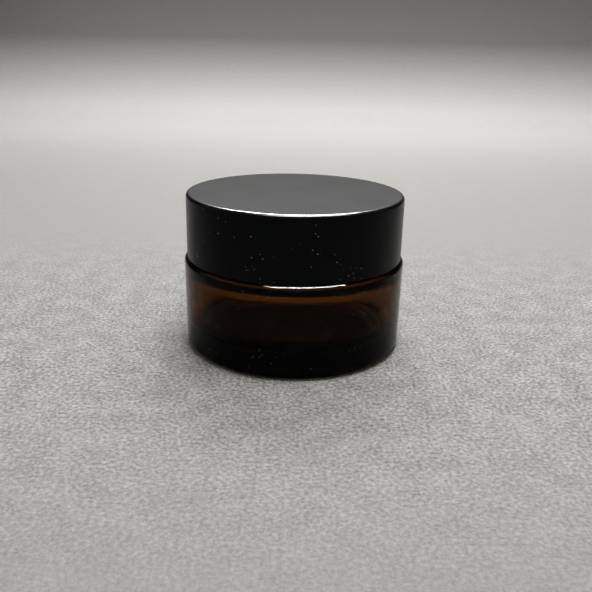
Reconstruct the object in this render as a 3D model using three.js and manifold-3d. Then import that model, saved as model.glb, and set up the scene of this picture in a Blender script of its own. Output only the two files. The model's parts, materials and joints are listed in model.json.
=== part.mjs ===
// A 30 ml amber glass cream jar with a black double-wall screw lid.
//
// The jar is one pressed piece of glass: a straight body, a rounded shoulder and a short neck that
// carries a single-start thread. A plastic sealing disc with a fold-up pull tab drops into the mouth.
// The lid is two mouldings, a threaded inner cap held inside a smooth outer shell, with a foam liner
// loose in its top. Turning the lid anticlockwise runs it up the thread and off the neck.
//
// Millimetres, +Z up. The origin is on the jar's axis, in the plane that the jar stands on.

import * as THREE from "three";
import { mergeVertices } from "three/addons/utils/BufferGeometryUtils.js";
import Module from "manifold-3d";

const wasm = await Module();
wasm.setup();

// ---- Driving dimensions --------------------------------------------------------------------------

const CLOSED_HEIGHT = 37; // jar with its lid screwed down
const LID_HEIGHT = 15.05;
const LID_RADIUS = 25.7;
const BODY_RADIUS = 26.4; // at the shoulder, where the body is widest
const BODY_DRAFT = 0.2; // how much narrower the body is at its foot
const NECK_RADIUS = 21.8;
const MOUTH_RADIUS = 19.0;
const THREAD_PITCH = 4.2; // the lid climbs this far in one turn

const TOUCH_GAP = 0.05; // between faces that rest on each other
const SHOULDER_GAP = 0.05; // from the lid's bottom edge to the glass shoulder
const ROUND_STEPS = 48; // facets round the axis
const ARC_ERROR = 0.05; // how far a fillet's facets may stray from its true arc
const MOULD_FILLET = 0.2; // on the edges of the plastic mouldings
const LID_FILLET = 0.8; // round the top edges of the lid's two mouldings

// ---- The stack inside the lid, from the top down --------------------------------------------------

const SHELL_TOP = 1.4;
const SHELL_WALL = 1.0;
const CAP_TOP = 1.3;
const LINER_THICKNESS = 1.2;
const FLANGE_THICKNESS = 0.7;

const lidBottom = CLOSED_HEIGHT - LID_HEIGHT;
const shellUnder = CLOSED_HEIGHT - SHELL_TOP;
const capTop = shellUnder - 2 * TOUCH_GAP;
const capUnder = capTop - CAP_TOP;
const linerTop = capUnder - TOUCH_GAP;
const linerBottom = linerTop - LINER_THICKNESS;
const flangeTop = linerBottom - TOUCH_GAP;
const flangeBottom = flangeTop - FLANGE_THICKNESS;
const rimHeight = flangeBottom - TOUCH_GAP;
const shoulderHeight = lidBottom - SHOULDER_GAP;

// ---- Materials ------------------------------------------------------------------------------------

const amberGlass = new THREE.MeshStandardMaterial({ color: 0x5c2b0c, roughness: 0.06, metalness: 0 });
const satinBlack = new THREE.MeshStandardMaterial({ color: 0x17181a, roughness: 0.42, metalness: 0 });
const blackPlastic = new THREE.MeshStandardMaterial({ color: 0x1d1e20, roughness: 0.5, metalness: 0 });
const whiteFoam = new THREE.MeshStandardMaterial({ color: 0xebe9e2, roughness: 0.85, metalness: 0 });
const milkyPlastic = new THREE.MeshStandardMaterial({ color: 0xe6e8e6, roughness: 0.45, metalness: 0 });

// ---- Helpers --------------------------------------------------------------------------------------

// A revolved outline as a geometry about Z. Each corner is [radius, height] or [radius, height, fillet].
// The outline runs up the outside of the piece and down its inside, and starts and ends on the axis.
function revolve(corners) {
  const outline = corners.flatMap(([x, y, fillet = 0], i) => {
    const corner = new THREE.Vector2(x, y);
    if (!fillet) return [corner];
    const before = new THREE.Vector2(...corners[i - 1].slice(0, 2)).sub(corner).normalize();
    const after = new THREE.Vector2(...corners[i + 1].slice(0, 2)).sub(corner).normalize();
    const half = Math.acos(THREE.MathUtils.clamp(before.dot(after), -1, 1)) / 2;
    const reach = fillet / Math.tan(half);
    const start = corner.clone().addScaledVector(before, reach);
    const centre = before.clone().add(after).normalize().multiplyScalar(fillet / Math.sin(half)).add(corner);
    const turn = Math.sign(before.cross(after)) * (2 * half - Math.PI);
    const stepAngle = 2 * Math.acos(1 - ARC_ERROR / fillet);
    const steps = Math.ceil(Math.abs(turn) / stepAngle);
    return Array.from({ length: steps + 1 }, (_, k) =>
      start.clone().rotateAround(centre, (turn * k) / steps),
    );
  });
  return new THREE.LatheGeometry(outline, ROUND_STEPS).rotateX(Math.PI / 2);
}

// A geometry as a manifold-3d solid.
function solidOf(geometry) {
  const bare = geometry.clone();
  bare.deleteAttribute("normal");
  bare.deleteAttribute("uv");
  const merged = mergeVertices(bare, 1e-4);
  return new wasm.Manifold(
    new wasm.Mesh({
      numProp: 3,
      vertProperties: merged.attributes.position.array,
      triVerts: new Uint32Array(merged.index.array),
    }),
  );
}

// A manifold-3d solid as a geometry with flat-shaded normals.
function geometryOf(solid) {
  const { vertProperties, triVerts } = solid.getMesh();
  const indexed = new THREE.BufferGeometry()
    .setAttribute("position", new THREE.BufferAttribute(vertProperties, 3))
    .setIndex(new THREE.BufferAttribute(triVerts, 1));
  const flat = indexed.toNonIndexed();
  flat.computeVertexNormals();
  return flat;
}

// A base geometry with others joined on.
function joined(base, additions) {
  return geometryOf(additions.reduce((solid, g) => solid.add(solidOf(g)), solidOf(base)));
}

function part(name, geometry, material) {
  const mesh = new THREE.Mesh(geometry, material);
  mesh.name = name;
  return mesh;
}

// ---- The thread -----------------------------------------------------------------------------------

const THREAD_TURNS = 1.25;
const THREAD_TOP = rimHeight - 2.2; // centre of the glass ridge where it ends, under the rim
const RIDGE_STEPS = 60;
const RIDGE_FADE = THREE.MathUtils.degToRad(22); // each end of a ridge fades out over this angle

const glassRidge = { root: NECK_RADIUS, crest: NECK_RADIUS + 1.15, rootWidth: 2.5, crestWidth: 1.1 };

// A straight bar of the ridge's section, bent into a right-hand helix. The bar's root sinks into the
// wall, and its crest fades back to the wall at both ends.
function helicalRidge({ root, crest, rootWidth, crestWidth }, turns, topHeight, endAngle) {
  const SINK = 0.35;
  const END_SHARE = 0.2; // of its height is left at its ends, which is less than the buried part
  const outward = Math.sign(crest - root);
  const slope = (rootWidth - crestWidth) / 2 / Math.abs(crest - root);
  const foot = rootWidth / 2 + slope * SINK;
  const corners = [
    [-foot, root - outward * SINK],
    [foot, root - outward * SINK],
    [crestWidth / 2, crest],
    [-crestWidth / 2, crest],
  ].map(([x, y]) => new THREE.Vector2(x, y));
  const sweep = turns * 2 * Math.PI;
  const bar = new THREE.ExtrudeGeometry(new THREE.Shape(corners), {
    depth: sweep,
    steps: RIDGE_STEPS,
    bevelEnabled: false,
  });
  const points = bar.attributes.position;
  for (let i = 0; i < points.count; i++) {
    const along = points.getZ(i);
    const fade = Math.min(1, along / RIDGE_FADE, (sweep - along) / RIDGE_FADE);
    const buried = root - outward * SINK;
    const radius = buried + (points.getY(i) - buried) * THREE.MathUtils.lerp(END_SHARE, 1, Math.max(0, fade));
    const angle = endAngle - sweep + along;
    const height = topHeight + ((along - sweep) / (2 * Math.PI)) * THREAD_PITCH + points.getX(i);
    points.setXYZ(i, radius * Math.cos(angle), radius * Math.sin(angle), height);
  }
  return bar;
}

// ---- Glass jar ------------------------------------------------------------------------------------

function glassJar() {
  const PUSH_UP = 0.9; // how far the middle of the underside is raised
  const PUSH_SLOPE = 3; // the width over which it rises
  const BEARING_INNER = 20.4;
  const HEEL_FILLET = 2.4;
  const SHOULDER_FILLET = 1;
  const NECK_ROOT_FILLET = 0.5;
  const RIM_FILLET = 0.7;
  const WALL = 3;
  const FLOOR = 4.2; // inside floor, above the standing plane
  const INSIDE_HEEL = 5;
  const INSIDE_SHOULDER = 18.3; // where the inside starts to draw in to the mouth
  const NECK_START = 23.3; // where the mouth's straight bore starts
  const INSIDE_FILLET = 3;
  const insideRadius = BODY_RADIUS - WALL;
  const body = revolve([
    [0, PUSH_UP],
    [BEARING_INNER - PUSH_SLOPE, PUSH_UP, 2],
    [BEARING_INNER, 0],
    [BODY_RADIUS - BODY_DRAFT, 0, HEEL_FILLET],
    [BODY_RADIUS, shoulderHeight, SHOULDER_FILLET],
    [NECK_RADIUS, shoulderHeight, NECK_ROOT_FILLET],
    [NECK_RADIUS, rimHeight, RIM_FILLET],
    [MOUTH_RADIUS, rimHeight, RIM_FILLET],
    [MOUTH_RADIUS, NECK_START, INSIDE_FILLET],
    [insideRadius, INSIDE_SHOULDER, INSIDE_FILLET],
    [insideRadius - BODY_DRAFT, FLOOR, INSIDE_HEEL],
    [0, FLOOR],
  ]);
  const ridge = helicalRidge(glassRidge, THREAD_TURNS, THREAD_TOP, 0);
  return part("glass_jar", joined(body, [ridge]), amberGlass);
}

// ---- Sealing disc and its pull tab ----------------------------------------------------------------

const RECESS_RADIUS = 17.9;
const RECESS_WALL = 0.75;
const PANEL_THICKNESS = 0.8;
const PLUG_DEPTH = 1.8; // how far the disc's panel drops into the mouth
const TAB_THICKNESS = 0.6;
const TAB_STANDS = 1.1; // its top above the panel
const TAB_HINGE_X = 14.6;
const HINGE_GAP = 0.3;

const panelTop = flangeBottom - PLUG_DEPTH + PANEL_THICKNESS;
const tabTop = panelTop + TAB_STANDS;

function sealingDisc() {
  const FLANGE_RADIUS = 21.5;
  const BLOCK_WIDTH = 8;
  const BLOCK_SINK = 0.3; // how far the hinge block is buried in the panel and the recess's wall
  const plugRadius = RECESS_RADIUS + RECESS_WALL;
  const disc = revolve([
    [0, panelTop - PANEL_THICKNESS],
    [plugRadius, panelTop - PANEL_THICKNESS, MOULD_FILLET],
    [plugRadius, flangeBottom],
    [FLANGE_RADIUS, flangeBottom],
    [FLANGE_RADIUS, flangeTop, MOULD_FILLET],
    [RECESS_RADIUS, flangeTop, MOULD_FILLET],
    [RECESS_RADIUS, panelTop, MOULD_FILLET],
    [0, panelTop],
  ]);
  const blockStart = TAB_HINGE_X + HINGE_GAP;
  const blockLength = RECESS_RADIUS + BLOCK_SINK - blockStart;
  const blockHeight = TAB_STANDS + BLOCK_SINK;
  const hingeBlock = new THREE.BoxGeometry(blockLength, BLOCK_WIDTH, blockHeight).translate(
    blockStart + blockLength / 2,
    0,
    tabTop - blockHeight / 2,
  );
  return part("sealing_disc", joined(disc, [hingeBlock]), milkyPlastic);
}

// A tongue with a round end that lies in the disc's recess, its hinge edge towards +X.
function pullTab() {
  const LENGTH = 10.5;
  const HALF_WIDTH = 4.6;
  const outline = new THREE.Shape();
  outline.moveTo(TAB_HINGE_X, -HALF_WIDTH);
  outline.lineTo(TAB_HINGE_X, HALF_WIDTH);
  outline.lineTo(TAB_HINGE_X - LENGTH + HALF_WIDTH, HALF_WIDTH);
  outline.absarc(TAB_HINGE_X - LENGTH + HALF_WIDTH, 0, HALF_WIDTH, Math.PI / 2, (3 * Math.PI) / 2);
  const tongue = new THREE.ExtrudeGeometry(outline, {
    depth: TAB_THICKNESS,
    curveSegments: 12,
    bevelEnabled: false,
  }).translate(0, 0, tabTop - TAB_THICKNESS);
  return part("disc_pull_tab", tongue, milkyPlastic);
}

// ---- Lid ------------------------------------------------------------------------------------------

const CAP_BORE = 23.3;
const CAP_WALL = 0.9;
const CAP_SKIRT = lidBottom + 0.9; // bottom edge of the inner cap, just inside the shell's
const SPLINES = 24;
const SPLINE_WIDTH = 2.9;
const SPLINE_GAP = 0.12;
const SPLINE_SINK = 0.2; // how far a spline's foot is buried in its wall
const SPLINE_BOTTOM = lidBottom + 4.5;
const SPLINE_TOP = capTop - 2;
const capOuter = CAP_BORE + CAP_WALL;
const shellBore = LID_RADIUS - SHELL_WALL;

function capLiner() {
  const LINER_GAP = 0.2; // round its edge
  const disc = revolve([
    [0, linerBottom],
    [CAP_BORE - LINER_GAP, linerBottom],
    [CAP_BORE - LINER_GAP, linerTop],
    [0, linerTop],
  ]);
  return part("cap_liner", disc, whiteFoam);
}

// A ring of upright splines between two radii, evenly spaced from the given angle. The inner cap's
// splines lie between the shell's, so that turning the shell turns the cap.
function splineRing(inner, outer, startAngle) {
  const height = SPLINE_TOP - SPLINE_BOTTOM;
  return Array.from({ length: SPLINES }, (_, i) =>
    new THREE.BoxGeometry(outer - inner, SPLINE_WIDTH, height)
      .translate((inner + outer) / 2, 0, (SPLINE_BOTTOM + SPLINE_TOP) / 2)
      .rotateZ(startAngle + (i * 2 * Math.PI) / SPLINES),
  );
}

function innerCap() {
  const BEAD_HEIGHT = 0.5;
  const BEAD_DEPTH = 0.5; // the bead that keeps the liner from dropping out
  const RIDGE_DROP = 1.7; // the lid's ridge runs this far below the glass ridge
  const RIDGE_TURNS = 1;
  const CREST_GAP = 0.4; // from the lid's ridge to the glass neck
  const beadTop = linerBottom - TOUCH_GAP;
  const cup = revolve([
    [0, capUnder],
    [CAP_BORE, capUnder, MOULD_FILLET],
    [CAP_BORE, beadTop],
    [CAP_BORE - BEAD_DEPTH, beadTop - BEAD_HEIGHT / 2],
    [CAP_BORE, beadTop - BEAD_HEIGHT],
    [CAP_BORE, CAP_SKIRT, MOULD_FILLET],
    [capOuter, CAP_SKIRT, MOULD_FILLET],
    [capOuter, capTop, LID_FILLET],
    [0, capTop],
  ]);
  const lidRidge = { root: CAP_BORE, crest: NECK_RADIUS + CREST_GAP, rootWidth: 2.3, crestWidth: 1.0 };
  const ridge = helicalRidge(lidRidge, RIDGE_TURNS, THREAD_TOP - RIDGE_DROP, 0);
  const splines = splineRing(capOuter - SPLINE_SINK, shellBore - SPLINE_GAP, 0);
  return part("threaded_inner_cap", joined(cup, [ridge, ...splines]), blackPlastic);
}

function lidShell() {
  const SNAP_BOTTOM = lidBottom + 0.25;
  const SNAP_TOP = CAP_SKIRT - 2 * TOUCH_GAP; // the inner cap's skirt rests on this ring
  const SNAP_DEPTH = 0.6;
  const SNAP_CHAMFER = 0.15;
  const cover = revolve([
    [0, shellUnder],
    [shellBore, shellUnder, MOULD_FILLET],
    [shellBore, SNAP_TOP],
    [shellBore - SNAP_DEPTH, SNAP_TOP - SNAP_CHAMFER],
    [shellBore - SNAP_DEPTH, SNAP_BOTTOM + SNAP_CHAMFER],
    [shellBore, lidBottom],
    [LID_RADIUS, lidBottom, MOULD_FILLET],
    [LID_RADIUS, CLOSED_HEIGHT, LID_FILLET],
    [0, CLOSED_HEIGHT],
  ]);
  const splines = splineRing(capOuter + SPLINE_GAP, shellBore + SPLINE_SINK, Math.PI / SPLINES);
  return part("lid_shell", joined(cover, splines), satinBlack);
}

// ---- Assembly -------------------------------------------------------------------------------------

const lid = new THREE.Group();
lid.add(innerCap(), lidShell());

const seal = new THREE.Group();
seal.add(sealingDisc(), pullTab());

const creamJar = new THREE.Group();
creamJar.name = "cream_jar";
creamJar.add(glassJar(), seal, capLiner(), lid);

export default creamJar;
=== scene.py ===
# %% [markdown]
# # A glass cream jar with a double-wall screw lid
# The jar is pressed amber glass. Its lid is two mouldings, a threaded cap inside a smooth shell, with
# a foam liner in the top. A plastic disc with a pull tab seals the mouth. All of them are turned
# shapes, so most of this lesson is one idea: draw half of a section as a chain of edges, round its
# corners, and spin it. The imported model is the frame, and every size that it can give is read from it.

# %% Load the frame
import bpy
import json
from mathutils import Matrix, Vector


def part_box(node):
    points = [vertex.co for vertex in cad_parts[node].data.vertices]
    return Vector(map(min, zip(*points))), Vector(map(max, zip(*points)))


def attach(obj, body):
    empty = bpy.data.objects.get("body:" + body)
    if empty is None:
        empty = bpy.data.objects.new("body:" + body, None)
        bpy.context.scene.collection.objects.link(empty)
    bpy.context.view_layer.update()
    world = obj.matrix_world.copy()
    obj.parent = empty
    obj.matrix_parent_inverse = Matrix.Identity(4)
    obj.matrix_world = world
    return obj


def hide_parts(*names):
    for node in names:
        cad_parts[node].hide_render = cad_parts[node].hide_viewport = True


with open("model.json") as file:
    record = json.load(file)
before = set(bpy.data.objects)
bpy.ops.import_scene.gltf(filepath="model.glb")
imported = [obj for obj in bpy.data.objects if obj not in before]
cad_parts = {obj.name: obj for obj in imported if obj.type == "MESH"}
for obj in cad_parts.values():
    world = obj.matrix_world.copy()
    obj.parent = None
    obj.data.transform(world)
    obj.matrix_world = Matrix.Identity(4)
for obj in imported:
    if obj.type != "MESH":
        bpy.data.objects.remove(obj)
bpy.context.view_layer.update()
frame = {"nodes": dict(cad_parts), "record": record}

import json
import math

import bmesh
import bpy
from mathutils import Matrix, Vector

scene = bpy.context.scene
print("nodes:", sorted(frame["nodes"]))

# %% [markdown]
# ## Sizes
# Lengths are in millimetres until a piece is finished, because that is how a jar maker's drawing
# gives them, and because Blender's tools merge and bevel more safely at that size than in metres.
# The outer sizes come from the frame. The thread's pitch comes from the joint that stands for it.

# %% Read the sizes from the frame
MM = 0.001


def node_size(node):
    """The outer radius, lowest height and highest height of a turned CAD node, in millimetres."""
    low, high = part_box(node)
    return high.x / MM, low.z / MM, high.z / MM


body_radius, _, rim_height = node_size("glass_jar")
lid_radius, lid_bottom, lid_top = node_size("lid_shell")
_, cap_skirt, cap_top = node_size("threaded_inner_cap")
liner_radius, liner_bottom, liner_top = node_size("cap_liner")
flange_radius, disc_bottom, flange_top = node_size("sealing_disc")

couplings = {c["joint"]: c["ratio"] for c in frame["record"]["behaviour"]["couplings"]}
thread_pitch = couplings["lid_lift"] * math.tau / MM

print(f"jar {2 * body_radius:.1f} mm wide, {lid_top:.1f} mm tall with its lid")
print(f"thread pitch {thread_pitch:.2f} mm")

# %% [markdown]
# ## A turned piece
# A lathe cuts a turned piece from its half section. Here the half section is a chain of edges in the
# XZ plane. Each corner may name a radius, and a vertex bevel rounds it, which is the wire version of
# a fillet. Spin then carries the chain round the axis. Spin leaves a pile of points at each pole, so
# they are merged, and the faces are then made to point outwards.

# %% Helpers that draw and spin a half section
ROUND_STEPS = 240
ARC_STEPS = 9  # segments in a right-angle fillet
LEAST_ARC_STEPS = 3
ON_WALL = 1e-3  # mm, a point this near a radius or a height is on the wall there
MERGE_WITHIN = 1e-4  # mm


def round_off(bm, parts, affect, size, segments):
    """Bevels edges or corners to an arc. The size is how far back from each of them the arc starts."""
    bmesh.ops.bevel(
        bm,
        geom=parts,
        affect=affect,
        offset_type="OFFSET",
        offset=size,
        segments=segments,
        profile=0.5,
        material=-1,
    )


def draw_section(corners):
    """A chain of edges through (radius, height) corners. A third number is a corner's fillet."""
    bm = bmesh.new()
    verts = [bm.verts.new((corner[0], 0, corner[1])) for corner in corners]
    for pair in zip(verts, verts[1:]):
        bm.edges.new(pair)
    places = [vert.co.copy() for vert in verts]
    for i, corner in enumerate(corners):
        if len(corner) < 3:
            continue
        turn = (places[i] - places[i - 1]).angle(places[i + 1] - places[i])
        segments = max(LEAST_ARC_STEPS, round(ARC_STEPS * turn / (math.pi / 2)))
        round_off(bm, [verts[i]], "VERTICES", corner[2] * math.tan(turn / 2), segments)
    return bm


def split_runs(bm, radius, longest):
    """Cuts the upright edges at this radius into pieces of about this length."""
    runs = [e for e in bm.edges if all(abs(v.co.x - radius) < ON_WALL for v in e.verts)]
    for edge in runs:
        bmesh.ops.subdivide_edges(bm, edges=[edge], cuts=int(edge.calc_length() / longest))


def spin_section(bm):
    """Spins the chain a full turn about Z and closes the poles."""
    bmesh.ops.spin(
        bm,
        geom=bm.verts[:] + bm.edges[:],
        cent=(0, 0, 0),
        axis=(0, 0, 1),
        dvec=(0, 0, 0),
        angle=math.tau,
        steps=ROUND_STEPS,
        use_merge=True,
    )
    bmesh.ops.remove_doubles(bm, verts=bm.verts, dist=MERGE_WITHIN)
    bmesh.ops.recalc_face_normals(bm, faces=bm.faces)


print(f"each turned piece has {ROUND_STEPS} steps round")

# %% [markdown]
# ## From a bmesh to a finished object
# The last step is the same for every piece: bring it to metres, shade it smooth but keep real edges
# crisp, and give it a material, a body to ride on and the CAD node that it stands for. A weighted
# normal modifier makes flat and straight walls reflect as flat, which matters most on glass.

# %% A helper that finishes a piece
CREASE_ANGLE = math.radians(40)


def finish_piece(bm, name, material, body, replaced):
    """Makes the bmesh an object that rides on a body and stands for a CAD node."""
    bmesh.ops.scale(bm, vec=(MM, MM, MM), verts=bm.verts)
    for face in bm.faces:
        face.smooth = True
    for edge in bm.edges:
        edge.smooth = edge.is_manifold and edge.calc_face_angle() < CREASE_ANGLE
    mesh = bpy.data.meshes.new(name)
    bm.to_mesh(mesh)
    open_edges = sum(not edge.is_manifold for edge in bm.edges)
    bm.free()
    mesh.materials.append(material)
    piece = bpy.data.objects.new(name, mesh)
    scene.collection.objects.link(piece)
    normals = piece.modifiers.new("even normals", "WEIGHTED_NORMAL")
    normals.keep_sharp = True
    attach(piece, body)
    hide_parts(replaced)
    print(f"{name}: {len(mesh.polygons)} faces, {open_edges} open edges")
    return piece


# %% [markdown]
# ## Materials
# Each material is a Principled shader with a few textures in Object coordinates, which are metres.
# One helper adds a node, sets it and links it, so that a material reads as a list of its nodes.
# Another turns a hex colour, as a paint chart gives it, to the linear values that the shader wants.

# %% Helpers for materials


def linear(hex_colour):
    """The linear RGBA of an sRGB hex colour."""
    channels = [int(hex_colour[i : i + 2], 16) / 255 for i in (1, 3, 5)]
    return [c / 12.92 if c <= 0.04045 else ((c + 0.055) / 1.055) ** 2.4 for c in channels] + [1]


def input_of(node, key):
    """The node's input at that place in its list, or the one in use with that name."""
    if isinstance(key, int):
        return node.inputs[key]
    return next(s for s in node.inputs if s.name == key and s.enabled)


def add(material, kind, settings=None, links=None):
    """Adds a node. Settings are its properties or its inputs' values, and links feed its inputs.

    A link starts at a socket, or at a node, which stands for its first output in use.
    """
    node = material.node_tree.nodes.new(kind)
    for key, value in (settings or {}).items():
        if isinstance(key, str) and hasattr(node, key):
            setattr(node, key, value)
        else:
            input_of(node, key).default_value = value
    for key, source in (links or {}).items():
        if isinstance(source, bpy.types.Node):
            source = next(s for s in source.outputs if s.enabled)
        material.node_tree.links.new(source, input_of(node, key))
    return node


def new_material(name):
    """An empty node material and the Object coordinates of its surface."""
    material = bpy.data.materials.new(name)
    material.use_nodes = True
    material.node_tree.nodes.clear()
    place = add(material, "ShaderNodeTexCoord").outputs["Object"]
    return material, place


def per_metre(size_mm):
    """The texture scale whose features are about this size."""
    return 1 / (size_mm * MM)


# %% [markdown]
# ### Dust
# A jar on a table collects lint, and on black plastic and dark glass each speck shows. A Voronoi
# texture scatters points through space, and where the surface passes close to one it shows a speck.
# Each point's own random colour gives that speck its size and decides whether it is kept. Dust lies
# in drifts where it was brushed together, so a slow noise decides where many are kept and where few.
# Only the outer wall has any, because the top is wiped by every hand, so its radius is tested too.

# %% A dust mask
DUST_SPACING = 0.6  # mm between the points, before thinning
DUST_RADIUS = (0.03, 0.10)  # mm, the smallest and the largest speck
DRIFT_SIZE = 8  # mm
DRIFT_SEED = 3.9
DRIFT_EDGES = (0.48, 0.62)  # a drift starts at the first value of the noise and is full at the second
BESIDE_DRIFTS = 0.05  # the share of a drift's specks that lie beside it
HIGH_UP = 0.1  # the share that is left at the upper height
WALL_DEPTH = 0.35  # mm, how far inside the outer radius still counts as the outer wall


def dust_mask(material, place, kept, wall, heights):
    """1 on a speck of dust and 0 elsewhere, on an outer wall of this radius, in millimetres.

    kept is the share of points in a drift that hold a speck at the lower of the two heights, and
    there are fewer towards the upper one.
    """
    points = add(
        material,
        "ShaderNodeTexVoronoi",
        {"Scale": per_metre(DUST_SPACING), "Randomness": 1.0},
        {"Vector": place},
    )
    chance = add(material, "ShaderNodeSeparateColor", links={"Color": points.outputs["Color"]})
    small, large = (radius / DUST_SPACING for radius in DUST_RADIUS)
    size = add(
        material,
        "ShaderNodeMapRange",
        {"To Min": small, "To Max": large},
        {"Value": chance.outputs["Green"]},
    )
    near = add(material, "ShaderNodeMath", {"operation": "LESS_THAN"}, {0: points, 1: size})
    drifts = add(
        material,
        "ShaderNodeTexNoise",
        {"noise_dimensions": "4D", "W": DRIFT_SEED, "Scale": per_metre(DRIFT_SIZE), "Detail": 2.0},
        {"Vector": place},
    )
    start, full = DRIFT_EDGES
    share = add(
        material,
        "ShaderNodeMapRange",
        {"From Min": start, "From Max": full, "To Min": BESIDE_DRIFTS * kept, "To Max": kept},
        {"Value": drifts},
    )
    axes = add(material, "ShaderNodeSeparateXYZ", links={"Vector": place})
    low, high = (height * MM for height in heights)
    by_height = add(
        material,
        "ShaderNodeMapRange",
        {"From Min": low, "From Max": high, "To Min": 1.0, "To Max": HIGH_UP},
        {"Value": axes.outputs["Z"]},
    )
    thinned = add(material, "ShaderNodeMath", {"operation": "MULTIPLY"}, {0: share, 1: by_height})
    chosen = add(
        material,
        "ShaderNodeMath",
        {"operation": "LESS_THAN"},
        {0: chance.outputs["Red"], 1: thinned},
    )
    flat = add(material, "ShaderNodeVectorMath", {"operation": "MULTIPLY", 1: (1, 1, 0)}, {0: place})
    from_axis = add(material, "ShaderNodeVectorMath", {"operation": "LENGTH"}, {0: flat})
    outside = add(
        material,
        "ShaderNodeMath",
        {"operation": "GREATER_THAN", 1: (wall - WALL_DEPTH) * MM},
        {0: from_axis},
    )
    speck = add(material, "ShaderNodeMath", {"operation": "MULTIPLY"}, {0: near, 1: chosen})
    return add(material, "ShaderNodeMath", {"operation": "MULTIPLY"}, {0: speck, 1: outside})


print(f"dust specks {2 * DUST_RADIUS[0]:.2f} to {2 * DUST_RADIUS[1]:.2f} mm across")

# %% [markdown]
# ### Amber glass
# Amber glass is soda-lime glass coloured by iron and sulphur. The colour is in the glass itself, so
# thick places are nearly black and thin ones glow orange. A plain Volume Absorption does that, where
# a tinted surface could not. Pressed glass is fire-polished: glossy, with a slow waviness that bends
# reflections, and finger smears that dull it here and there.

# %% Amber glass
GLASS_IOR = 1.52
ABSORBED_PER_MM = (0.28, 0.41, 0.82)  # red, green and blue
DENSITY_MARGIN = 1.04  # keeps blue, the most absorbed colour, a little above black in the node
SMEAR_SIZE = 9  # mm
SMEAR_EDGES = (0.45, 0.75)  # a smear starts at the first value of the noise and is full at the second
GLASS_ROUGHNESS = (0.015, 0.07)  # clean and smeared
GLASS_DUST = 0.8
WAVE_SIZE = 11  # mm
WAVE_HEIGHT = 0.12  # mm


def amber_glass():
    """Glass that absorbs light by its thickness, with smears, waviness and dust on its surface."""
    material, place = new_material("amber_soda_lime_glass")
    dust = dust_mask(material, place, GLASS_DUST, body_radius, (0, 2 * lid_bottom))
    smears = add(
        material,
        "ShaderNodeTexNoise",
        {"Scale": per_metre(SMEAR_SIZE), "Detail": 3.0, "Roughness": 0.6},
        {"Vector": place},
    )
    start, full = SMEAR_EDGES
    clean, smeared = GLASS_ROUGHNESS
    gloss = add(
        material,
        "ShaderNodeMapRange",
        {"From Min": start, "From Max": full, "To Min": clean, "To Max": smeared},
        {"Value": smears},
    )
    roughness = add(
        material,
        "ShaderNodeMix",
        {"data_type": "FLOAT", "B": 0.8},
        {"Factor": dust, "A": gloss},
    )
    colour = add(
        material,
        "ShaderNodeMix",
        {"data_type": "RGBA", "A": linear("#ffffff"), "B": linear("#f2f0ea")},
        {"Factor": dust},
    )
    clear = add(material, "ShaderNodeMath", {"operation": "SUBTRACT", 0: 1.0}, {1: dust})
    waves = add(
        material,
        "ShaderNodeTexNoise",
        {"Scale": per_metre(WAVE_SIZE), "Detail": 1.0},
        {"Vector": place},
    )
    bump = add(
        material,
        "ShaderNodeBump",
        {"Strength": 0.35, "Distance": WAVE_HEIGHT * MM},
        {"Height": waves},
    )
    surface = add(
        material,
        "ShaderNodeBsdfPrincipled",
        {"IOR": GLASS_IOR, "Specular IOR Level": 0.4},
        {"Base Color": colour, "Roughness": roughness, "Transmission Weight": clear, "Normal": bump},
    )
    density = max(ABSORBED_PER_MM) / MM * DENSITY_MARGIN
    passed = [1 - absorbed / MM / density for absorbed in ABSORBED_PER_MM]
    inside = add(
        material, "ShaderNodeVolumeAbsorption", {"Color": (*passed, 1), "Density": density}
    )
    add(material, "ShaderNodeOutputMaterial", links={"Surface": surface, "Volume": inside})
    print(f"{material.name}: {math.exp(-ABSORBED_PER_MM[0]):.0%} of red passes 1 mm")
    return material


glass = amber_glass()

# %% [markdown]
# ### Moulded plastics
# The lid's shell is black ABS from a mould with a fine spark-eroded texture, which gives the skin a
# satin look: a broad soft highlight and no mirror image. The parts inside are polypropylene and
# polyethylene from polished moulds. They share one builder, because what differs is colour, gloss
# and the size of the grain.

# %% Plastics
PLASTIC_IOR = 1.49
HANDLING_SIZE = 7  # mm, of the patches that handling has polished a little
HANDLING_RANGE = (0.2, 0.8)  # the values that their noise nearly stays between
SCATTER = (1.0, 0.95, 0.85)  # how far red, green and blue travel in a milky plastic
SCATTER_DEPTH = 0.6  # mm


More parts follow.
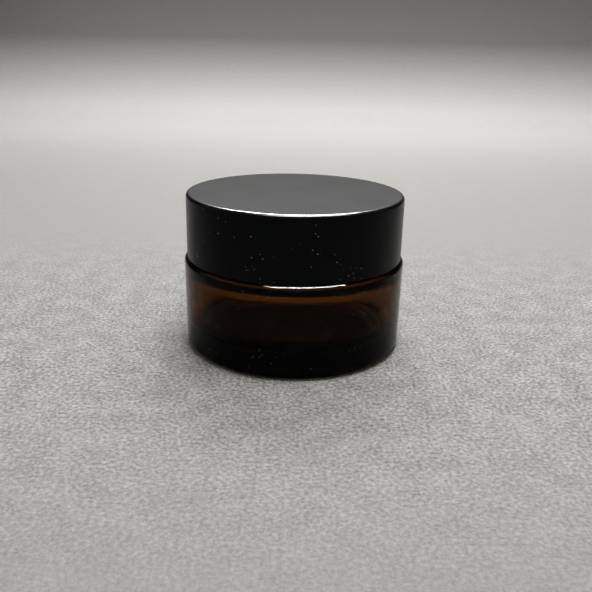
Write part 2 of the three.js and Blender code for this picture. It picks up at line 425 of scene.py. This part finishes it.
def moulded_plastic(name, shades, roughness, grain_mm, grain_depth_mm, dust=0.0, milky=0.0):
    """A moulded plastic of two shades, with a gloss from smoothest to dullest and its mould's grain."""
    material, place = new_material(name)
    grain = add(
        material,
        "ShaderNodeTexNoise",
        {"Scale": per_metre(grain_mm), "Detail": 2.0},
        {"Vector": place},
    )
    handling = add(
        material,
        "ShaderNodeTexNoise",
        {"Scale": per_metre(HANDLING_SIZE), "Detail": 2.0},
        {"Vector": place},
    )
    least, most = HANDLING_RANGE
    smoothest, dullest = roughness
    gloss = add(
        material,
        "ShaderNodeMapRange",
        {"From Min": least, "From Max": most, "To Min": smoothest, "To Max": dullest},
        {"Value": handling},
    )
    dark, light = shades
    shade = add(
        material,
        "ShaderNodeMix",
        {"data_type": "RGBA", "A": linear(dark), "B": linear(light)},
        {"Factor": handling},
    )
    if dust:
        specks = dust_mask(material, place, dust, lid_radius, (lid_bottom, lid_top))
        shade = add(
            material,
            "ShaderNodeMix",
            {"data_type": "RGBA", "B": linear("#f6f5f1")},
            {"Factor": specks, "A": shade},
        )
        gloss = add(
            material, "ShaderNodeMix", {"data_type": "FLOAT", "B": 0.9}, {"Factor": specks, "A": gloss}
        )
    bump = add(
        material,
        "ShaderNodeBump",
        {"Strength": 0.5, "Distance": grain_depth_mm * MM},
        {"Height": grain},
    )
    surface = add(
        material,
        "ShaderNodeBsdfPrincipled",
        {
            "IOR": PLASTIC_IOR,
            "Subsurface Weight": milky,
            "Subsurface Radius": SCATTER,
            "Subsurface Scale": SCATTER_DEPTH * MM,
        },
        {"Base Color": shade, "Roughness": gloss, "Normal": bump},
    )
    add(material, "ShaderNodeOutputMaterial", links={"Surface": surface})
    print(f"{name}: roughness {smoothest} to {dullest}, grain {grain_mm} mm")
    return material


shell_plastic = moulded_plastic(
    "spark_eroded_black_abs",
    shades=("#1e2122", "#212425"),
    roughness=(0.255, 0.27),
    grain_mm=0.35,
    grain_depth_mm=0.004,
    dust=0.7,
)
cap_plastic = moulded_plastic(
    "black_polypropylene",
    shades=("#0b0c0d", "#101113"),
    roughness=(0.3, 0.42),
    grain_mm=0.6,
    grain_depth_mm=0.01,
)
disc_plastic = moulded_plastic(
    "milky_polyethylene",
    shades=("#dfe2df", "#e9ebe8"),
    roughness=(0.34, 0.5),
    grain_mm=0.5,
    grain_depth_mm=0.015,
    milky=0.35,
)

# %% [markdown]
# ### Foam
# The liner is cut from a sheet of expanded polyethylene. Its skin is matt and shows the closed cells
# beneath as a fine pebbled pattern, which a Voronoi texture makes well.

# %% Liner foam
CELL_SIZE = 0.55  # mm, coarser than the real cells so that they show
PEBBLE_DEPTH = 0.08  # mm


def liner_foam():
    """A matt foam whose cells show as pebbles."""
    material, place = new_material("expanded_polyethylene_foam")
    cells = add(
        material,
        "ShaderNodeTexVoronoi",
        {"Scale": per_metre(CELL_SIZE), "feature": "SMOOTH_F1"},
        {"Vector": place},
    )
    shade = add(
        material,
        "ShaderNodeMix",
        {"data_type": "RGBA", "A": linear("#f0eee7"), "B": linear("#d8d5cb")},
        {"Factor": cells},
    )
    bump = add(
        material,
        "ShaderNodeBump",
        {"Strength": 0.6, "Distance": PEBBLE_DEPTH * MM, "invert": True},
        {"Height": cells},
    )
    surface = add(
        material,
        "ShaderNodeBsdfPrincipled",
        {"Roughness": 0.75, "Subsurface Weight": 0.15, "Subsurface Scale": 0.5 * MM},
        {"Base Color": shade, "Normal": bump},
    )
    add(material, "ShaderNodeOutputMaterial", links={"Surface": surface})
    print(f"{material.name}: cells {CELL_SIZE} mm")
    return material


foam = liner_foam()

# %% [markdown]
# ## The thread
# A thread could be a separate ridge swept round the neck and joined on, but on glass the join would
# show as a seam inside. Instead the wall itself is pushed out. A helix that climbs one pitch a turn
# gives each point of the wall its distance from the ridge's centre line, and a smooth step turns
# that into height. Positive depth makes the jar's thread and negative depth the lid's.

# %% A helper that raises a helical ridge
FADE_TURNS = 0.07  # each end of a ridge fades out over this part of a turn


def smooth_step(share):
    """0 below 0, 1 above 1, and an S-shaped rise between."""
    share = min(1.0, max(0.0, share))
    return share * share * (3 - 2 * share)


def raise_ridge(bm, wall, top, turns, depth, widths):
    """Pushes a wall's points out by depth along a right-hand helix that ends at this height, over +X.

    The widths are the ridge's at its root and at its crest.
    """
    root_width, crest_width = widths
    for vert in bm.verts:
        radius = math.hypot(vert.co.x, vert.co.y)
        if abs(radius - wall) > ON_WALL:
            continue
        around = math.atan2(vert.co.y, vert.co.x) % math.tau / math.tau
        rise = 0.0
        for lap in range(1, 1 + math.ceil(turns) + 1):
            along = turns + around - lap
            end_fade = smooth_step(min(along, turns - along) / FADE_TURNS)
            offset = abs(vert.co.z - (top - thread_pitch * (turns - along)))
            flank = (root_width / 2 - offset) / ((root_width - crest_width) / 2)
            rise = max(rise, end_fade * smooth_step(flank))
        grown = (radius + depth * rise) / radius
        vert.co.x *= grown
        vert.co.y *= grown


print(f"a ridge rises {thread_pitch:.2f} mm a turn")

# %% [markdown]
# ## The glass jar
# The section goes from the middle of the underside, which is pushed up so that the jar stands on a
# ring, round the heel, up the body, over the shoulder, up the neck, and back down the inside to the
# thick floor. Glass has no sharp corner anywhere, so every corner has a fillet. The neck's wall is
# cut into short runs before the spin, so that it has enough points for the thread.

# %% Make the jar
SHOULDER_HEIGHT = lid_bottom - 0.05
SHOULDER_FILLET = 1.0
BODY_DRAFT = 0.2  # how much smaller the body's radius is at its foot
HEEL_FILLET = 2.4
BEARING_INNER = 20.4
BEARING_FILLET = 1.5
PUSH_UP = 0.9
PUSH_SLOPE = 3
PUSH_FILLET = 2
NECK_RADIUS = 21.8
NECK_ROOT_FILLET = 0.5
NECK_START = 23.3
MOUTH_RADIUS = 19.0
RIM_FILLET = 0.7
GLASS_WALL = 3
GLASS_FLOOR = 4.2
INSIDE_SHOULDER = 18.3
INSIDE_FILLET = 3
INSIDE_HEEL = 5
THREAD_TOP = rim_height - 2.2
THREAD_TURNS = 1.25
THREAD_DEPTH = 1.15
THREAD_WIDTHS = (2.5, 0.7)
POINT_SPACING = 0.28  # mm, up a wall that carries a thread


def make_jar():
    """The glass jar with its shoulder, neck and thread."""
    inside = body_radius - GLASS_WALL
    bm = draw_section(
        [
            (0, PUSH_UP),
            (BEARING_INNER - PUSH_SLOPE, PUSH_UP, PUSH_FILLET),
            (BEARING_INNER, 0, BEARING_FILLET),
            (body_radius - BODY_DRAFT, 0, HEEL_FILLET),
            (body_radius, SHOULDER_HEIGHT, SHOULDER_FILLET),
            (NECK_RADIUS, SHOULDER_HEIGHT, NECK_ROOT_FILLET),
            (NECK_RADIUS, rim_height, RIM_FILLET),
            (MOUTH_RADIUS, rim_height, RIM_FILLET),
            (MOUTH_RADIUS, NECK_START, INSIDE_FILLET),
            (inside, INSIDE_SHOULDER, INSIDE_FILLET),
            (inside - BODY_DRAFT, GLASS_FLOOR, INSIDE_HEEL),
            (0, GLASS_FLOOR),
        ]
    )
    split_runs(bm, NECK_RADIUS, POINT_SPACING)
    spin_section(bm)
    raise_ridge(bm, NECK_RADIUS, THREAD_TOP, THREAD_TURNS, THREAD_DEPTH, THREAD_WIDTHS)
    return finish_piece(bm, "jar_glass", glass, "jar", "glass_jar")


make_jar()

# %% [markdown]
# ## The lid
# The shell is the only part of the lid that shows when it is closed: a cup with a flat top, a small
# round at the top edge and a smaller one at the bottom. Inside, upright splines stop the threaded
# cap from turning in it. They are columns of the wall's own faces, extruded as regions and scaled in
# or out from the axis, which an extrude does more cleanly than joining boxes on.

# %% A helper that raises splines
SPLINES = 24
SPLINE_COLUMNS = 3  # faces across a spline
SPLINE_BOTTOM = lid_bottom + 4.5
SPLINE_TOP = cap_top - 2
SPLINE_GAP = 0.12  # mm between a spline's crest and the wall that it faces


def extrude_region(bm, faces, keep=False):
    """Extrudes faces as one region and returns its points. The old faces go, unless they are kept."""
    new = bmesh.ops.extrude_face_region(bm, geom=faces)["geom"]
    if not keep:
        bmesh.ops.delete(bm, geom=faces, context="FACES")
    return [item for item in new if isinstance(item, bmesh.types.BMVert)]


def raise_splines(bm, wall, new_radius, first_column):
    """Extrudes evenly spaced columns of a wall's faces to a new radius."""
    columns_apart = ROUND_STEPS // SPLINES

    def on_spline(face):
        centre = face.calc_center_median()
        if not SPLINE_BOTTOM < centre.z < SPLINE_TOP:
            return False
        if any(abs(math.hypot(v.co.x, v.co.y) - wall) > ON_WALL for v in face.verts):
            return False
        column = math.floor(math.atan2(centre.y, centre.x) / math.tau * ROUND_STEPS)
        return (column - first_column) % columns_apart < SPLINE_COLUMNS

    raised = extrude_region(bm, [face for face in bm.faces if on_spline(face)])
    grown = new_radius / wall
    bmesh.ops.scale(bm, vec=(grown, grown, 1), verts=raised)


print(f"{SPLINES} splines, {SPLINE_TOP - SPLINE_BOTTOM:.1f} mm tall")

# %% [markdown]
# ### The shell
# Below the cap, a shallow ring on the shell's bore holds the cap in. The cap's skirt snaps past it,
# so its upper and lower sides slope.

# %% Make the lid's shell
SHELL_BORE = lid_radius - 1.0
SHELL_UNDER = lid_top - 1.4
SHELL_INNER_FILLET = 0.5
LID_TOP_FILLET = 0.8
LID_BOTTOM_FILLET = 0.12
RING_TOP = cap_skirt - 0.1
RING_BOTTOM = lid_bottom + 0.25
RING_WIDTH = 0.6
RING_SLOPE = 0.15
RING_FILLET = 0.1
CAP_BORE = 23.3
CAP_OUTER = CAP_BORE + 0.9
SHELL_FIRST_COLUMN = 3


def make_shell():
    """The smooth outer cup of the lid."""
    bm = draw_section(
        [
            (0, SHELL_UNDER),
            (SHELL_BORE, SHELL_UNDER, SHELL_INNER_FILLET),
            (SHELL_BORE, SPLINE_TOP),
            (SHELL_BORE, SPLINE_BOTTOM),
            (SHELL_BORE, RING_TOP),
            (SHELL_BORE - RING_WIDTH, RING_TOP - RING_SLOPE, RING_FILLET),
            (SHELL_BORE - RING_WIDTH, RING_BOTTOM + RING_SLOPE, RING_FILLET),
            (SHELL_BORE, lid_bottom, RING_FILLET),
            (lid_radius, lid_bottom, LID_BOTTOM_FILLET),
            (lid_radius, lid_top, LID_TOP_FILLET),
            (0, lid_top),
        ]
    )
    spin_section(bm)
    raise_splines(bm, SHELL_BORE, CAP_OUTER + SPLINE_GAP, SHELL_FIRST_COLUMN)
    return finish_piece(bm, "lid_outer_shell", shell_plastic, "lid", "lid_shell")


make_shell()

# %% [markdown]
# ### The threaded cap
# The cap screws onto the neck. Its ridge runs below the jar's and pulls the lid down as it is turned.
# A bead under the top holds the liner, and its splines stand between the shell's.

# %% Make the threaded inner cap
CAP_TOP_FILLET = 0.8
CAP_SKIRT_FILLET = 0.25
LINER_CLEARANCE = 0.05
BEAD_HEIGHT = 0.5  # it stands as far out as it is tall
BEAD_FILLET = 0.12
CAP_INNER_FILLET = 0.15
LID_RIDGE_DROP = 1.7  # the lid's ridge runs this far below the jar's
LID_RIDGE_TURNS = 1.0
LID_RIDGE_DEPTH = 1.1
LID_RIDGE_WIDTHS = (2.3, 0.6)
CAP_FIRST_COLUMN = -2


def make_inner_cap():
    """The inner moulding of the lid, with its thread and the bead that holds the liner."""
    under = liner_top + LINER_CLEARANCE
    bead_top = liner_bottom - LINER_CLEARANCE
    ridge_top = THREAD_TOP - LID_RIDGE_DROP
    bm = draw_section(
        [
            (0, under),
            (CAP_BORE, under, CAP_INNER_FILLET),
            (CAP_BORE, bead_top),
            (CAP_BORE - BEAD_HEIGHT, bead_top - BEAD_HEIGHT / 2, BEAD_FILLET),
            (CAP_BORE, bead_top - BEAD_HEIGHT),
            (CAP_BORE, cap_skirt, CAP_SKIRT_FILLET),
            (CAP_OUTER, cap_skirt, CAP_SKIRT_FILLET),
            (CAP_OUTER, SPLINE_BOTTOM),
            (CAP_OUTER, SPLINE_TOP),
            (CAP_OUTER, cap_top, CAP_TOP_FILLET),
            (0, cap_top),
        ]
    )
    split_runs(bm, CAP_BORE, POINT_SPACING)
    spin_section(bm)
    raise_ridge(bm, CAP_BORE, ridge_top, LID_RIDGE_TURNS, -LID_RIDGE_DEPTH, LID_RIDGE_WIDTHS)
    raise_splines(bm, CAP_OUTER, SHELL_BORE - SPLINE_GAP, CAP_FIRST_COLUMN)
    return finish_piece(bm, "lid_inner_cap", cap_plastic, "lid", "threaded_inner_cap")


make_inner_cap()

# %% [markdown]
# ## The liner
# The liner is a plain disc of foam, held up by the bead in the cap. Screwed down on the seal, it
# takes the print of the seal's flange, so its underside has a shallow ring pressed into it.

# %% Make the liner
PRINT_DEPTH = 0.12
PRINT_INNER = 18.0
PRINT_OUTER = 21.7
PRINT_SLOPE = 0.4
PRINT_FILLET = 0.6
LINER_FILLET = 0.25


def make_liner():
    """The foam disc, with the print of the seal's flange in its underside."""
    print_top = liner_bottom + PRINT_DEPTH
    bm = draw_section(
        [
            (0, liner_bottom),
            (PRINT_INNER, liner_bottom, PRINT_FILLET),
            (PRINT_INNER + PRINT_SLOPE, print_top, PRINT_FILLET),
            (PRINT_OUTER - PRINT_SLOPE, print_top, PRINT_FILLET),
            (PRINT_OUTER, liner_bottom, PRINT_FILLET),
            (liner_radius, liner_bottom, LINER_FILLET),
            (liner_radius, liner_top, LINER_FILLET),
            (0, liner_top),
        ]
    )
    spin_section(bm)
    return finish_piece(bm, "foam_liner", foam, "liner", "cap_liner")


make_liner()

# %% [markdown]
# ## The sealing disc
# The disc is one moulding with its pull tab. Its flange lies on the glass rim, its panel drops into
# the mouth, and a block at one side carries the thin hinge of the tab. The block is a cube, bevelled
# and then joined by a boolean, because it grows out of a wall that the spin can't interrupt.

# %% Helpers that join pieces and make a block
def joined(base, additions):
    """A bmesh that is the union of a bmesh and others. All of them are used up."""
    objects = []
    for bm in [base, *additions]:
        mesh = bpy.data.meshes.new("joining")
        bm.to_mesh(mesh)
        bm.free()
        objects.append(bpy.data.objects.new("joining", mesh))
        scene.collection.objects.link(objects[-1])
    for other in objects[1:]:
        union = objects[0].modifiers.new("union", "BOOLEAN")
        union.operation = "UNION"
        union.solver = "EXACT"
        union.object = other
    bpy.context.view_layer.update()
    whole = bmesh.new()
    whole.from_object(objects[0], bpy.context.evaluated_depsgraph_get())
    for item in objects:
        bpy.data.objects.remove(item)
    return whole


def rounded_block(low, high, fillet):
    """A block between two corners, with all its edges rounded."""
    bm = bmesh.new()
    bmesh.ops.create_cube(bm, size=1)
    bmesh.ops.scale(bm, vec=high - low, verts=bm.verts)
    bmesh.ops.translate(bm, vec=(low + high) / 2, verts=bm.verts)
    round_off(bm, bm.edges[:], "EDGES", fillet, LEAST_ARC_STEPS)
    return bm


# %% [markdown]
# ### Its hinge
# The hinge is a thread of plastic along the tab's end. Bent there, it folds without breaking, and
# it is a thin cylinder here so that it looks the same however far the tab is folded.

# %% Make the sealing disc
tab_low, tab_high = (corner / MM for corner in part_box("disc_pull_tab"))
RECESS_RADIUS = 17.9
PLUG_RADIUS = RECESS_RADIUS + 0.75
PLUG_FILLET = 0.3
PLUG_ROOT_FILLET = 0.1
FLANGE_BOTTOM = flange_top - 0.7
FLANGE_FILLETS = (0.15, 0.2)  # below and above
PANEL_TOP = disc_bottom + 0.8
PANEL_FILLET = 0.4
GATE_RING = (1.6, 0.5)  # the outer and the inner radius of the groove round the mould's gate
GATE_DEPTH = 0.2
GATE_SLOPES = (0.3, 0.2)
GATE_FILLETS = (0.3, 0.15, 0.1, 0.15)  # from the outer edge inwards
HINGE_GAP = 0.3  # between the tab and the block
HINGE_X = tab_high.x + HINGE_GAP / 2
HINGE_RADIUS = 0.16
HINGE_WIDTH = 8.4
HINGE_STEPS = 24
BLOCK_WIDTH = 8
BLOCK_SINK = 0.3  # how far the block reaches into the panel and the wall that it grows from
BLOCK_FILLET = 0.12


def hinge_block():
    """The block at the hinge, from just beyond the hinge's middle into the disc's wall."""
    near = Vector((HINGE_X + HINGE_GAP / 2, -BLOCK_WIDTH / 2, PANEL_TOP - BLOCK_SINK))
    far = Vector((RECESS_RADIUS + BLOCK_SINK, BLOCK_WIDTH / 2, tab_high.z))
    return rounded_block(near, far, BLOCK_FILLET)


def hinge_thread():
    """The thread of plastic, along Y."""
    bm = bmesh.new()
    bmesh.ops.create_cone(
        bm,
        cap_ends=True,
        segments=HINGE_STEPS,
        radius1=HINGE_RADIUS,
        radius2=HINGE_RADIUS,
        depth=HINGE_WIDTH,
    )
    lying = Matrix.Rotation(math.pi / 2, 3, "X")
    bmesh.ops.rotate(bm, cent=(0, 0, 0), matrix=lying, verts=bm.verts)
    bmesh.ops.translate(bm, vec=(HINGE_X, 0, tab_high.z - HINGE_RADIUS), verts=bm.verts)
    return bm


def make_disc():
    """The sealing disc with its hinge, but without its tab."""
    fillet_below, fillet_above = FLANGE_FILLETS
    outer, inner = GATE_RING
    outer_slope, inner_slope = GATE_SLOPES
    gate_radii = [outer, outer - outer_slope, inner + inner_slope, inner]
    gate_bottom = PANEL_TOP - GATE_DEPTH
    gate_heights = [PANEL_TOP, gate_bottom, gate_bottom, PANEL_TOP]
    disc = draw_section(
        [
            (0, disc_bottom),
            (PLUG_RADIUS, disc_bottom, PLUG_FILLET),
            (PLUG_RADIUS, FLANGE_BOTTOM, PLUG_ROOT_FILLET),
            (flange_radius, FLANGE_BOTTOM, fillet_below),
            (flange_radius, flange_top, fillet_above),
            (RECESS_RADIUS, flange_top, fillet_above),
            (RECESS_RADIUS, PANEL_TOP, PANEL_FILLET),
            *zip(gate_radii, gate_heights, GATE_FILLETS),
            (0, PANEL_TOP),
        ]
    )
    spin_section(disc)
    whole = joined(disc, [hinge_block(), hinge_thread()])
    return finish_piece(whole, "seal_disc", disc_plastic, "seal", "sealing_disc")


make_disc()

# %% [markdown]
# ### Its pull tab
# The tab starts as a rectangle of four points. A vertex bevel rounds its free end, the face is
# extruded to thickness, and planes cut its top into strips, every second of which is raised as a
# grip rib. A bevel along all the sharp edges then gives the soft look of a moulding.

# %% Make the pull tab
ROUND_END = 0.999  # of half the width, so that the two bevels don't quite meet
ROUND_END_STEPS = 14
RIBS = 4
FIRST_RIB = tab_low.x + 1.8
RIB_WIDTH = 0.45
RIB_SPACING = 1.1
RIB_HEIGHT = 0.22
TAB_FILLET = 0.08
SHARP_ANGLE = math.radians(50)


def cut_strips(bm):
    """Cuts the tab across at both sides of each rib."""
    for rib in range(RIBS):
        for side in (0, RIB_WIDTH):
            bmesh.ops.bisect_plane(
                bm,
                geom=bm.verts[:] + bm.edges[:] + bm.faces[:],
                plane_co=(FIRST_RIB + rib * RIB_SPACING + side, 0, 0),
                plane_no=(1, 0, 0),
            )


def on_rib(face):
    """Whether the face is a strip of the top that becomes a rib."""
    centre = face.calc_center_median()
    along = centre.x - FIRST_RIB
    in_row = 0 < along < RIBS * RIB_SPACING
    return in_row and along % RIB_SPACING < RIB_WIDTH and abs(centre.z - tab_high.z) < ON_WALL


def make_tab():
    """The tab, from its free end to its hinge, with its grip ribs."""
    bm = bmesh.new()
    half_width = tab_high.y
    corners = [
        (tab_high.x, -half_width),
        (tab_high.x, half_width),
        (tab_low.x, half_width),
        (tab_low.x, -half_width),
    ]
    verts = [bm.verts.new((x, y, tab_low.z)) for x, y in corners]
    bm.faces.new(verts)
    round_off(bm, verts[2:], "VERTICES", half_width * ROUND_END, ROUND_END_STEPS)
    top = extrude_region(bm, bm.faces[:], keep=True)
    bmesh.ops.translate(bm, vec=(0, 0, tab_high.z - tab_low.z), verts=top)
    cut_strips(bm)
    ribs = extrude_region(bm, [face for face in bm.faces if on_rib(face)])
    bmesh.ops.translate(bm, vec=(0, 0, RIB_HEIGHT), verts=ribs)
    bmesh.ops.recalc_face_normals(bm, faces=bm.faces)
    sharp = [e for e in bm.edges if e.is_manifold and e.calc_face_angle() > SHARP_ANGLE]
    round_off(bm, sharp, "EDGES", TAB_FILLET, 2)
    return finish_piece(bm, "seal_pull_tab", disc_plastic, "tab", "disc_pull_tab")


make_tab()

# %% [markdown]
# ## The table
# A studio sweep is one sheet of matt paper that lies flat and curves up behind the object,
# so that there is no line where the table ends. It is a chain of edges again, rounded by a bevel
# and pulled sideways. The paper has a felt face. Its fibres are a fine noise, and they show most
# near the jar, where the nap stands up. Where the sheet starts to climb, its colour is painted
# darker: painted shade for the light that falls off up the curve. The flat top of the lid mirrors
# that part, so the painted shade keeps it dark too.

# %% Felt paper
FIBRE_SIZE = 0.8  # mm
FIBRE_DEPTH = 0.2  # mm
CLOUD_SIZE = 6  # mm
CLOUD_SHARE = 0.15  # how much the clouds count beside the fibres
NAP_CONTRAST = 4.8
NAP_ENDS = (0.025, 0.10)  # metres: it stands up nearer than the first and lies flat past the second
FLAT_NAP = 0.1  # the contrast of flat nap, as a share
PAINTED_SHADE_HEIGHTS = (0.012, 0.080)  # metres, the paper's colour is painted darker between these, as painted shade
PAINTED_SHADE_SHARE = 0.43  # above the fade, as a share of the shade below


def paper():
    """Grey paper with a felt face, and painted shade: a fade to a darker grey up the curve."""
    material, place = new_material("grey_felt_paper")
    axes = add(material, "ShaderNodeSeparateXYZ", links={"Vector": place})
    fibres = add(
        material,
        "ShaderNodeTexNoise",
        {"Scale": per_metre(FIBRE_SIZE), "Detail": 5.0, "Roughness": 0.8},
        {"Vector": place},
    )
    clouds = add(
        material,
        "ShaderNodeTexNoise",
        {"Scale": per_metre(CLOUD_SIZE), "Detail": 3.0},
        {"Vector": place},
    )
    mottle = add(
        material,
        "ShaderNodeMath",
        {"operation": "MULTIPLY_ADD", 1: CLOUD_SHARE},
        {0: clouds, 2: fibres},
    )
    middle = (1 + CLOUD_SHARE) / 2
    off_middle = add(
        material, "ShaderNodeMath", {"operation": "SUBTRACT", 1: middle}, {0: mottle}
    )
    away = add(material, "ShaderNodeMath", {"operation": "ABSOLUTE"}, {0: axes.outputs["Y"]})
    near, far = NAP_ENDS
    nap = add(
        material,
        "ShaderNodeMapRange",
        {"From Min": near, "From Max": far, "To Min": NAP_CONTRAST, "To Max": FLAT_NAP * NAP_CONTRAST},
        {"Value": away},
    )
    mixing = add(
        material,
        "ShaderNodeMath",
        {"operation": "MULTIPLY_ADD", 2: 0.5},
        {0: off_middle, 1: nap},
    )
    shade = add(
        material,
        "ShaderNodeMix",
        {"data_type": "RGBA", "A": linear("#979591"), "B": linear("#e2e0dc")},
        {"Factor": mixing},
    )
    # Painted shade: the paper's colour darkens up the curve, where less light falls on it.
    start, end = PAINTED_SHADE_HEIGHTS
    fade = add(
        material,
        "ShaderNodeMapRange",
        {"From Min": start, "From Max": end, "To Min": 1.0, "To Max": PAINTED_SHADE_SHARE},
        {"Value": axes.outputs["Z"]},
    )
    painted_shade_colour = add(
        material,
        "ShaderNodeMix",
        {"data_type": "RGBA", "blend_type": "MULTIPLY", "Factor": 1.0},
        {"A": shade, "B": fade},
    )
    bump = add(
        material,
        "ShaderNodeBump",
        {"Strength": 0.6, "Distance": FIBRE_DEPTH * MM},
        {"Height": fibres},
    )
    surface = add(
        material,
        "ShaderNodeBsdfPrincipled",
        {"Roughness": 0.9, "Specular IOR Level": 0.2},
        {"Base Color": painted_shade_colour, "Normal": bump},
    )
    add(material, "ShaderNodeOutputMaterial", links={"Surface": surface})
    print(f"{material.name}: fibres {FIBRE_SIZE} mm, fade to {PAINTED_SHADE_SHARE:.0%}")
    return material


# %% Make the sweep
SWEEP_FRONT = -1.2  # metres from here on
SWEEP_BACK = 0.75
SWEEP_HEIGHT = 1.1
SWEEP_CURVE = 0.25
SWEEP_CURVE_STEPS = 32
SWEEP_WIDTH = 3.2


def make_sweep():
    """The sheet of paper under and behind the jar."""
    bm = bmesh.new()
    corners = [(SWEEP_FRONT, 0), (SWEEP_BACK, 0), (SWEEP_BACK, SWEEP_HEIGHT)]
    verts = [bm.verts.new((-SWEEP_WIDTH / 2, y, z)) for y, z in corners]
    for pair in zip(verts, verts[1:]):
        bm.edges.new(pair)
    round_off(bm, [verts[1]], "VERTICES", SWEEP_CURVE, SWEEP_CURVE_STEPS)
    pulled = bmesh.ops.extrude_edge_only(bm, edges=bm.edges[:])["geom"]
    verts = [item for item in pulled if isinstance(item, bmesh.types.BMVert)]
    bmesh.ops.translate(bm, vec=(SWEEP_WIDTH, 0, 0), verts=verts)
    bmesh.ops.recalc_face_normals(bm, faces=bm.faces)
    if sum(face.normal.z for face in bm.faces) < 0:
        bmesh.ops.reverse_faces(bm, faces=bm.faces)
    for face in bm.faces:
        face.smooth = True
    mesh = bpy.data.meshes.new("sweep")
    bm.to_mesh(mesh)
    bm.free()
    mesh.materials.append(paper())
    sweep = bpy.data.objects.new("sweep", mesh)
    scene.collection.objects.link(sweep)
    print(f"sweep: {SWEEP_WIDTH} m wide, {SWEEP_BACK - SWEEP_FRONT:.2f} m deep, {SWEEP_HEIGHT} m tall")


make_sweep()

# %% [markdown]
# ## Light
# A soft light hangs above and a little in front, and a weaker one behind, so the jar stands between
# two soft shadows. Two more light the sheet behind it, and an even pale world fills the shadows.
# Black plastic shows little but reflections. So three strips light nothing directly and are only
# seen mirrored: along the lid's top edge, on the glass shoulder and faintly in the lid's top.

# %% Hang the lights


def softbox(name, size, place, aim, power, spread=180):
    """An area light of this width and depth at a place, facing a point, in metres, watts and degrees."""
    light = bpy.data.lights.new(name, "AREA")
    light.shape = "RECTANGLE"
    light.size, light.size_y = size
    light.energy = power
    light.spread = math.radians(spread)
    lamp = bpy.data.objects.new(name, light)
    lamp.matrix_world = Matrix.Translation(place) @ (
        (Vector(aim) - Vector(place)).to_track_quat("-Z", "Y").to_matrix().to_4x4()
    )
    scene.collection.objects.link(lamp)
    return lamp


JAR_FOOT = (0, 0, 0)
LID_FRONT = (0, 0, 0.03)

softbox("key_softbox", (0.2, 0.12), (0.06, -0.05, 0.5), JAR_FOOT, 0.80)
softbox("background_softbox", (0.8, 0.3), (0.05, 0.62, 0.45), (0.05, 0.60, 0), 0.7, spread=130)
softbox("background_strip", (0.9, 0.2), (0.05, 0.50, 0.4), (0.05, 0.50, 0), 0.7, spread=100)
back = softbox("back_softbox", (0.25, 0.15), (0.08, 0.24, 0.45), JAR_FOOT, 0.33)
back.visible_transmission = False
for strip in [
    softbox("edge_strip", (0.36, 0.1), (-0.02, 0.36, 0.47), LID_FRONT, 19.0),
    softbox("shoulder_strip", (0.5, 0.16), (0.05, -0.09, 0.5), LID_FRONT, 9.0),
    softbox("top_strip", (1.2, 0.2), (0, 0.62, 0.28), LID_FRONT, 0.04),
]:
    strip.visible_diffuse = False
    strip.visible_transmission = False

# %% Fill the room with light
ROOM_BRIGHTNESS = 0.56

world = bpy.data.worlds.new("pale_room")
world.use_nodes = True
room = world.node_tree.nodes["Background"]
room.inputs["Color"].default_value = linear("#f4f6f7")
room.inputs["Strength"].default_value = ROOM_BRIGHTNESS
scene.world = world
print(f"{len(bpy.data.lights)} lights, room at {ROOM_BRIGHTNESS}")

# %% [markdown]
# ## Camera
# The camera stands close to a small object, so the perspective is strong: it looks down on the
# jar from about 18 cm away, held a little off level.

# %% Place the camera
CAMERA_DISTANCE = 0.1649
CAMERA_HEIGHT = 0.0686
LOOK_DOWN = math.radians(19.33)
ROLL = math.radians(1.25)
TURN = math.radians(0.24)
LENS = 42.7  # mm, on the default sensor, 36 mm wide
NEAREST_SEEN = 0.01

camera = bpy.data.cameras.new("camera")
camera.lens = LENS
camera.clip_start = NEAREST_SEEN
viewer = bpy.data.objects.new("camera", camera)
viewer.matrix_world = (
    Matrix.Translation((0, -CAMERA_DISTANCE, CAMERA_HEIGHT))
    @ Matrix.Rotation(-TURN, 4, "Z")
    @ Matrix.Rotation(math.pi / 2 - LOOK_DOWN, 4, "X")
    @ Matrix.Rotation(ROLL, 4, "Z")
)
scene.collection.objects.link(viewer)
scene.camera = viewer
print(f"camera {viewer.matrix_world.translation.length:.3f} m from the jar's foot")

# %% [markdown]
# ## Tone
# The Standard view keeps the colours as they are mixed. A curve over it works like film: nearly
# straight in the light tones, with a long toe that makes the dark ones deeper.

# %% Set the tone curve
TOE = 0.3
TONED_LEVELS = (0.02, 0.05, 0.1, 0.2, 0.35, 0.6)


def toned(level):
    """The level after the toe. Black and white stay as they are."""
    return level**2 / (level + TOE) * (1 + TOE)


scene.view_settings.view_transform = "Standard"
scene.view_settings.use_curve_mapping = True
film = scene.view_settings.curve_mapping
for level in TONED_LEVELS:
    film.curves[3].points.new(level, toned(level))
    print(f"level {level:.2f} becomes {toned(level):.3f}")
film.update()
